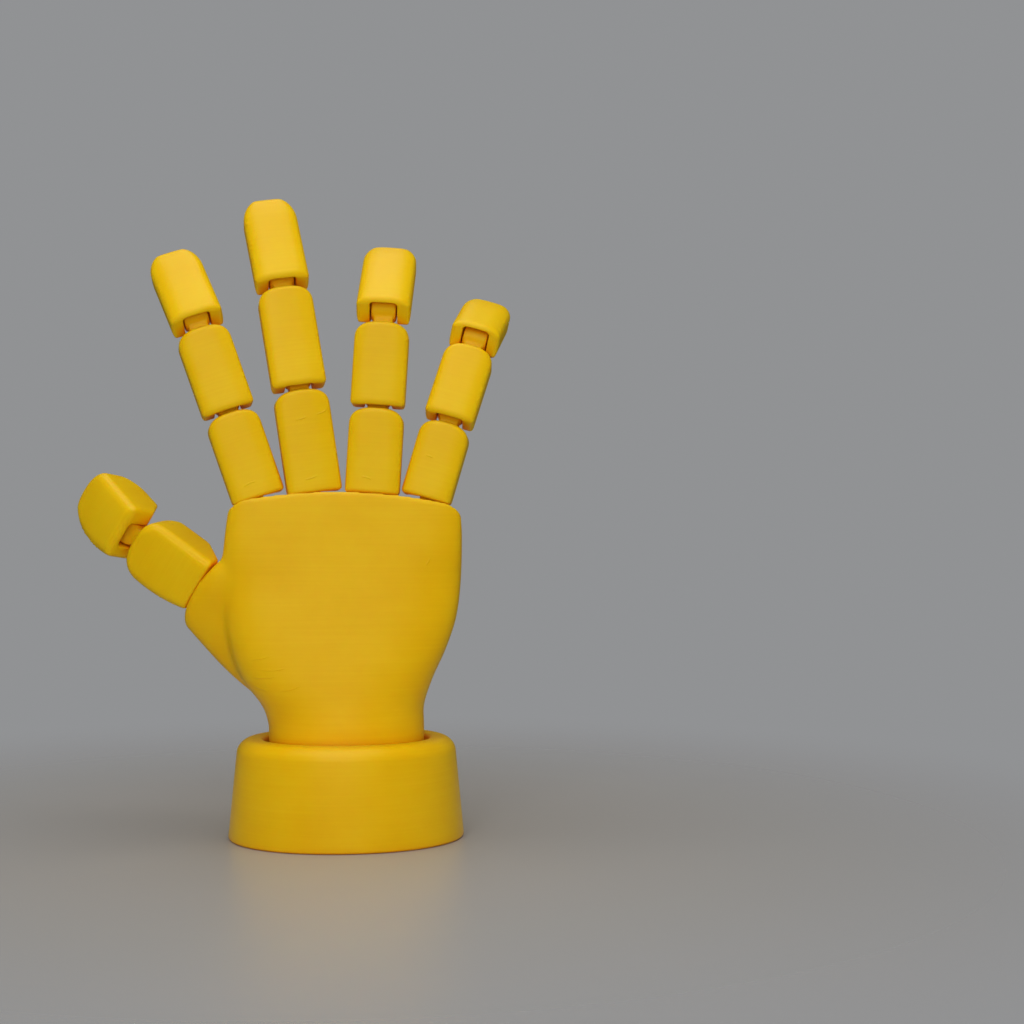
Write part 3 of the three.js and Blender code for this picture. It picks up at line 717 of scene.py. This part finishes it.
def hingeSlot(drop):
    back, roof, r = -hinge["slotBack"], hinge["slotRoof"], hinge["slotCorner"]
    half = hinge["barrelWidth"] / 2 + hinge["sideGap"]
    deep, over = hinge["slotDepth"], beyond / 2
    fromSide = drawnBlock([
        (back, -drop - beyond), (deep, -drop - beyond), (deep, roof), (0, roof),
        (back, roof, -back * almost, roof * almost),
    ], -half, half, seenFromSide, 12)
    fromAbove = drawnBlock([
        (-half, back, r, r), (half, back, r, r), (half, deep + over), (-half, deep + over),
    ], -drop - beyond - over, roof + over, seenFromAbove, 6)
    return carve(finishedMesh(fromSide, "slot"), [("INTERSECT", finishedMesh(fromAbove, "slot"))])


def bosses(radius, height):
    out = hinge["barrelWidth"] / 2 + hinge["bossRise"] - hinge["boss"]
    return [finishedMesh(ball(radius, (side * out, 0, height), 32), "boss") for side in (-1, 1)]


def tongueSteps(length):
    half = hinge["barrelWidth"] / 2
    neck = block((hinge["neck"], hinge["neck"], hinge["neckRoot"]),
                 (0, 0, length - hinge["neckRoot"] / 2))
    foot = length - hinge["drop"] - hinge["between"]
    flare = rod(hinge["flare"], hinge["neck"] / 2, (0, 0, foot - hinge["flareBelow"]),
                (0, 0, foot + hinge["flareAbove"]))
    barrel = rod(hinge["barrel"], hinge["barrel"], (-half, 0, length), (half, 0, length), 64)
    parts = [finishedMesh(part, "tongue") for part in (neck, flare, barrel)]
    return [("UNION", part) for part in parts + bosses(hinge["boss"], length)]


def socketSteps():
    low = -knuckle["mouthTop"] - knuckle["mouthLength"]
    mouth = rod(knuckle["mouthEnd"], knuckle["mouth"], (0, 0, low), (0, 0, -knuckle["mouthTop"]))
    deep = knuckle["notchDepth"]
    notch = block((knuckle["notch"], deep, deep), (0, deep / 2, knuckle["notchTop"] - deep / 2))
    hollow = ball(knuckle["ball"] + knuckle["gap"])
    return [("DIFFERENCE", finishedMesh(part, "socket")) for part in (hollow, mouth, notch)]


def tipWear(form):
    # a fingertip is worn round towards the palm side
    depth, rise = form["tipWearDepth"], form["tipWearRise"]

    def share(spot):
        return min(max(spot.y / depth, 0), 1) * min(max(spot.z / rise - 1, 0), 1)

    return share


def phalanxMesh(width, form, length, isRoot, isTip):
    end = {
        "drop": form["knuckleDrop"] if isRoot else hinge["drop"],
        "crown": form["knuckleCrown"] if isRoot else hinge["crown"],
        "sole": form["knuckleSole"] if isRoot else form["sole"],
        "top": length if isTip else length - hinge["drop"] - hinge["between"],
        "arch": form["domeRise"] if isTip else form["tipRise"],
        "outerArch": form["domeRise"] if isTip else form["tipRise"],
        "square": form["domeSquare"] if isTip else form["tipSquare"],
        "round": form["domeRound"] if isTip else form["tipRound"],
        "fall": form["domeFall"] if isTip else form["tipFall"],
        "soft": form["rootRound"] if isRoot else form["endRound"],
    }
    if isTip and "outerRise" in form:
        end["outerArch"] = form["outerRise"]
    body = phalanxBody(width, form, end)
    steps = []
    if isRoot:
        steps += socketSteps()
    else:
        steps.append(("DIFFERENCE", hingeSlot(end["drop"])))
        dimples = bosses(hinge["boss"] + hinge["dimpleGap"], 0)
        steps += [("DIFFERENCE", dimple) for dimple in dimples]
    if not isTip:
        steps += tongueSteps(length)
    mesh = soften(carve(body, steps), form["grain"], form["wear"])
    if isTip:
        mesh = soothe(mesh, tipWear(form), form["tipWear"])
    return mesh


seam = {
    "height": 0.45, "width": 0.45, "pitch": 1.1, "inFromSide": 0.6, "inFromBack": 1.3,
    "finer": 3.1, "finerShare": 0.6, "bare": 0.05, "reach": 2.5, "low": -2,
}
# on the backs of the phalanges, measured from each one's joint
phalanxMarks = {
    "index_proximal": [(-1.5, -6.5, -1, 8, 4.2, -6)],
    "middle_proximal": [(-0.8, -6.5, -1.4, 12, 4.2, 8), (-1.2, -6.5, 16.3, 8, 3.6, 10),
                        (5.2, -6.5, 17.4, 18, 4, 12)],
    "ring_proximal": [(-1.5, -6.5, -1.1, -14, 3.4, -8)],
    "pinky_proximal": [(-2, -6.5, 6.8, -4, 2.4, -6)],
}


def addCrowning(mesh, width, form, top, isTip):
    # the backs are not quite flat: they fall away to the sides, and at a fingertip to its end
    amount = form["crowning"] * (form["tipCrowning"] if isTip else 1)
    for v in mesh.vertices:
        toBack = -v.co.y / form["back"]
        if toBack > 0:
            across = min(abs(v.co.x) / (width / 2), 1)
            v.co.y += amount * toBack * across ** form["crowningPower"]
            if isTip:
                along = max((v.co.z - top) / form["nailLength"] + 1, 0)
                v.co.y += form["nailFall"] * toBack * along ** form["nailPower"]


def addBelly(mesh, width, form, length):
    # the thumb's outer side bows out a little and is worn round at both ends
    middle = length / 2 - form["bellyDrop"]
    for v in mesh.vertices:
        out = (-v.co.x - form["bellyFrom"]) / (width / 2 - form["bellyFrom"])
        if out > 0:
            along = (v.co.z - middle) / (length / 2)
            v.co.x -= out * (form["belly"] - form["bellyFall"] * along * along)


def addSeam(mesh, width, form, seed, side):
    # where each printed loop starts and stops, a rough row of tiny bumps runs up the back's edge
    x = side * (width / 2 - seam["inFromSide"])
    y = seam["inFromBack"] - form["back"]
    for v in mesh.vertices:
        off = math.hypot(v.co.x - x, v.co.y - y) / seam["width"]
        if off < seam["reach"] and v.co.z > seam["low"]:
            up = v.co.z / seam["pitch"]
            coarse = noise.noise((seed, 0, up))
            rough = coarse + seam["finerShare"] * noise.noise((0, seed, up * seam["finer"]))
            v.co += v.normal * seam["height"] * max(rough - seam["bare"], 0) * math.exp(-off * off)


def addDigit(name, spec, place, parts, seed):
    addPiece(name + "_ball_print", name + "_knuckle_ball", name + "_knuckle",
             finishedMesh(ball(knuckle["ball"]), "ball"), place, seed)
    here = place
    reach = 0
    form = {**(thumbShape if name == "thumb" else shape), **spec.get("tip", {})}
    for i, part in enumerate(parts):
        down = Matrix.Translation((0, 0, reach * mm))
        here = here @ down @ Matrix.Rotation(math.radians(-spec["bends"][i]), 4, "X")
        mesh = phalanxMesh(spec["width"], form, spec["lengths"][i], i == 0, i == len(parts) - 1)
        addCrowning(mesh, spec["width"], form, spec["lengths"][i], i == len(parts) - 1)
        if name == "thumb":
            addBelly(mesh, spec["width"], form, spec["lengths"][i])
        addSeam(mesh, spec["width"], form, seed + 3.7 * i, spec["seamSide"][i])
        label = name + "_" + part
        # the digits take the painted light that makes them paler than the palm
        addPiece(label + "_print", label, label, mesh, here, seed + i, phalanxMarks.get(label, ()),
                 plastic["fingerPaintedLight"])
        reach = spec["lengths"][i]
    print(name + " made")


for i, (name, spec) in enumerate(fingers.items()):
    spot = Matrix.Translation(knuckleSpot(spec["across"], knuckle["rise"]) * mm)
    place = spot @ yawPitchRoll(spec["lean"], 0, spec["twist"])
    addDigit(name, spec, place, ("proximal", "middle", "distal"), 20.0 + 7 * i)
addDigit("thumb", thumb, Matrix.Translation(Vector(thumb["root"]) * mm) @ thumbTurn,
         ("proximal", "distal"), 60.0)


studio = {
    "floor": (0.42, 0.4, 0.373), "floorRough": 0.36, "reach": 0.9,
    "fadeFrom": 0.04, "fadeTo": 0.3,    # metres from the middle, where the floor gives way to the wall
    "wall": (0.283, 0.288, 0.296), "skyLight": 0.16, "mirrored": 0.04,
    "keyPower": 0.76, "topPower": 2, "fillPower": 1.1, "leftPower": 0.2, "rightPower": 0.6,
    "rearPower": 1.6, "aim": (0, 0, 0.1),
}


def addFloor():
    bm = bmesh.new()
    bmesh.ops.create_circle(bm, cap_ends=True, segments=96, radius=studio["reach"])
    floor = bpy.data.objects.new("floor", finishedMesh(bm, "floor"))
    bpy.context.scene.collection.objects.link(floor)
    paint = bpy.data.materials.new("floorPaint")
    paint.use_nodes = True
    tree = paint.node_tree
    shader = tree.nodes["Principled BSDF"]
    shader.inputs["Base Color"].default_value = (*studio["floor"], 1)
    shader.inputs["Roughness"].default_value = studio["floorRough"]
    nothing = wire(tree, "ShaderNodeBsdfTransparent")
    where = wire(tree, "ShaderNodeTexCoord")
    far = wire(tree, "ShaderNodeVectorMath", {0: where.outputs["Object"]}, operation="LENGTH")
    fade = wire(tree, "ShaderNodeMapRange",
                {"Value": far.outputs["Value"], "From Min": studio["fadeFrom"],
                 "From Max": studio["fadeTo"]}, interpolation_type="SMOOTHSTEP")
    mix = wire(tree, "ShaderNodeMixShader",
               {"Fac": fade.outputs["Result"], 1: shader.outputs["BSDF"], 2: nothing.outputs["BSDF"]})
    tree.links.new(mix.outputs["Shader"], tree.nodes["Material Output"].inputs["Surface"])
    floor.data.materials.append(paint)


def addWorld():
    # even light for the surfaces, a darker room in their gloss and a plain grey wall for the camera
    world = bpy.data.worlds.new("studio")
    bpy.context.scene.world = world
    world.use_nodes = True
    tree = world.node_tree
    light = tree.nodes["Background"]
    light.inputs["Color"].default_value = (1, 1, 1, 1)
    light.inputs["Strength"].default_value = studio["skyLight"]
    room = wire(tree, "ShaderNodeBackground", {"Strength": studio["mirrored"]})
    room.inputs["Color"].default_value = (1, 1, 1, 1)
    wall = wire(tree, "ShaderNodeBackground", {"Color": (*studio["wall"], 1)})
    ray = wire(tree, "ShaderNodeLightPath")
    gloss = wire(tree, "ShaderNodeMixShader", {0: ray.outputs["Is Glossy Ray"],
                                               1: light.outputs[0], 2: room.outputs[0]})
    seen = wire(tree, "ShaderNodeMixShader", {0: ray.outputs["Is Camera Ray"],
                                              1: gloss.outputs[0], 2: wall.outputs[0]})
    tree.links.new(seen.outputs[0], tree.nodes["World Output"].inputs["Surface"])


def addLamp(name, spot, size, colour):
    lamp = bpy.data.lights.new(name + "Lamp", "AREA")
    lamp.shape = "RECTANGLE"
    lamp.size, lamp.size_y = size
    lamp.energy = studio[name + "Power"]
    lamp.color = colour
    item = bpy.data.objects.new(name + "Lamp", lamp)
    item.location = spot
    item.rotation_euler = (Vector(studio["aim"]) - Vector(spot)).to_track_quat("-Z", "Y").to_euler()
    bpy.context.scene.collection.objects.link(item)
    return item


addFloor()
addWorld()
addLamp("top", (-0.05, -0.03, 0.72), (0.5, 0.46), (1, 0.99, 0.97))
addLamp("key", (-0.07, -0.46, 0.42), (0.32, 0.32), (1, 1, 1))
softLamps = {"fill": (-0.04, -0.6, 0.13), "left": (-0.8, -0.35, 0.25), "right": (0.8, -0.35, 0.25),
             "rear": (0.15, 0.8, 0.3)}
for name, spot in softLamps.items():
    addLamp(name, spot, (0.6, 0.24), (1, 1, 1)).visible_glossy = False

# the object stands left of the middle of the picture, so the camera is turned, not shifted
camera = {"spot": (0, -0.52, 0.099), "lens": 60.85, "yaw": -5.455, "pitch": -0.26}
eye = bpy.data.cameras.new("camera")
eye.lens = camera["lens"]
eye.sensor_width = 36
item = bpy.data.objects.new("camera", eye)
item.location = camera["spot"]
item.rotation_euler = Euler((math.radians(90 + camera["pitch"]), 0, math.radians(camera["yaw"])))
bpy.context.scene.collection.objects.link(item)
bpy.context.scene.camera = item
bpy.context.scene.view_settings.view_transform = "Standard"
print("studio made")
